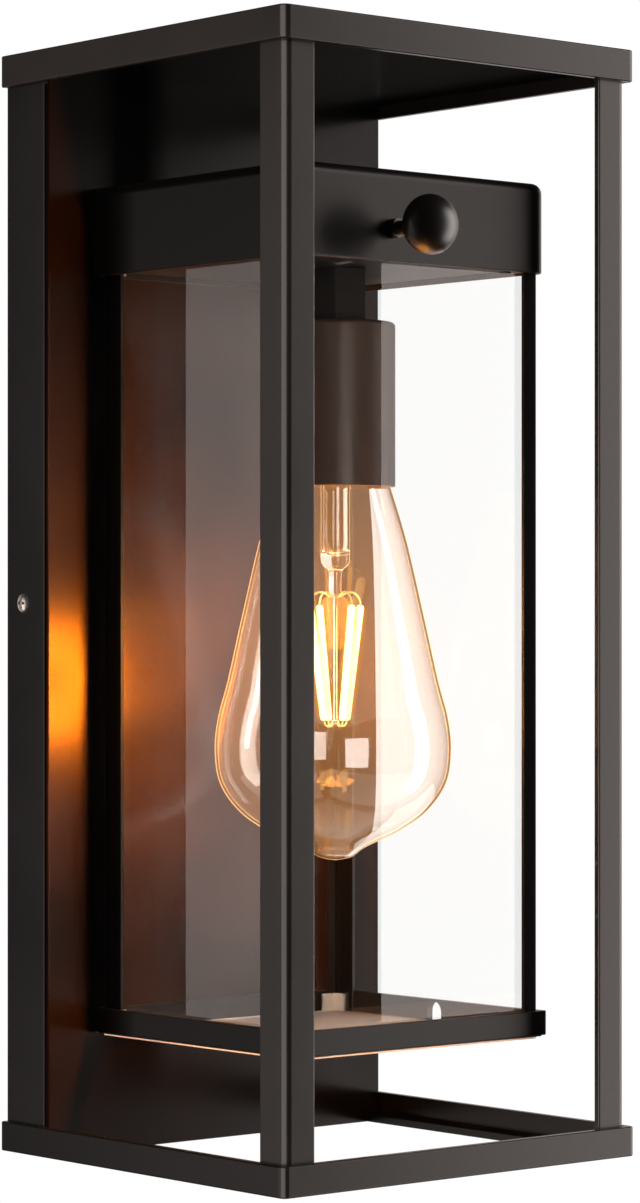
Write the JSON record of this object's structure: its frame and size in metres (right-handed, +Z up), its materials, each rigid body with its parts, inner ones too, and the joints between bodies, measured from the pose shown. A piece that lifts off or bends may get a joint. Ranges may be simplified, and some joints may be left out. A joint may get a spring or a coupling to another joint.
{
  "type": "outdoor wall lantern",
  "caption": "Slim box-frame wall lantern with a back pan, a drop-out glass shade held by a ball thumbscrew, and a screw-in filament bulb.",
  "frame": {"origin": "centre of the wall bracket's wire hole, on the wall's surface", "axes": "+X to the right of someone facing the lantern, +Y into the wall, +Z up"},
  "size_m": [0.1266, 0.1284, 0.305],
  "materials": {
    "frame_paint": "fine textured satin powder coat, dark bronze black",
    "head_paint": "satin powder coat, dark bronze black",
    "knob_paint": "glossy black enamel",
    "zinc_steel": "zinc plated, slightly dull",
    "ground_green": "green dyed plating",
    "porcelain": "white glaze",
    "contact_brass": "bare, slightly tarnished",
    "cap_brass": "bright, rolled thread",
    "contact_solder": "dull solder",
    "cap_glass": "black glass insulator",
    "pane_glass": "clear, polished edges",
    "floor_glass": "frosted",
    "bulb_tint": "clear amber tinted blown glass",
    "stem_glass": "clear",
    "filament": "glowing",
    "wire_steel": "bright drawn wire",
    "foam": "closed cell foam",
    "grommet_rubber": "soft black",
    "lead_white": "insulation",
    "lead_black": "insulation",
    "lead_green": "insulation",
    "connector_plastic": "ribbed twist-on shell"
  },
  "bodies": {
    "housing": {"roof_cap": "frame_paint", "roof_soffit": "frame_paint", "corner_post_left": "frame_paint", "corner_post_right": "frame_paint", "base_rail_front": "frame_paint", "base_rail_left": "frame_paint", "base_rail_right": "frame_paint", "back_pan": "frame_paint", "wall_gasket": "foam", "wall_bracket": "zinc_steel", "side_screws": "zinc_steel", "head_shell": "head_paint", "head_screws": "zinc_steel", "screw_washer": "zinc_steel", "lamp_carrier": "head_paint", "threaded_nipple": "zinc_steel", "socket_nut": "zinc_steel", "hex_coupler": "head_paint", "lock_washer": "zinc_steel", "lock_nut": "zinc_steel", "socket_sleeve": "head_paint", "socket_body": "porcelain", "screw_shell": "contact_brass", "centre_contact": "contact_brass", "knob_bush": "knob_paint", "lead_neutral": "lead_white", "lead_live": "lead_black", "lead_grommet": "grommet_rubber", "wire_connectors": "connector_plastic", "ring_terminals": "contact_brass", "ground_lead": "lead_green", "ground_screw": "ground_green"},
    "shade": {"shade_rail_front": "head_paint", "shade_rail_rear": "head_paint", "shade_rail_left": "head_paint", "shade_rail_right": "head_paint", "shade_post_front_left": "head_paint", "shade_post_front_right": "head_paint", "shade_post_rear_left": "head_paint", "shade_post_rear_right": "head_paint", "shade_collar": "head_paint", "pane_front": "pane_glass", "pane_left": "pane_glass", "pane_right": "pane_glass", "floor_pane": "floor_glass", "pane_clips": "zinc_steel", "floor_seal": "grommet_rubber"},
    "knob": {"knob_ball": "knob_paint", "knob_stud": "zinc_steel", "knob_washer": "knob_paint"},
    "bulb": {"bulb_glass": "bulb_tint", "bulb_cap": "cap_brass", "bulb_insulator": "cap_glass", "bulb_contact": "contact_solder", "bulb_stem": "stem_glass", "filaments": "filament", "support_wires": "wire_steel"}
  },
  "joints": [
    {"name": "shade_drop", "type": "slide", "parent": "housing", "child": "shade", "axis": [0, 0, -1], "range_m": [0, 0.262]},
    {"name": "knob_turn", "type": "hinge", "parent": "housing", "child": "knob", "pos_m": [-0.0123, -0.1217, 0.0995], "axis": [0, -1, 0], "continuous": true},
    {"name": "bulb_slide", "type": "slide", "parent": "housing", "child": "bulb", "axis": [0, 0, -1], "range_m": [0, 0.04]}
  ]
}
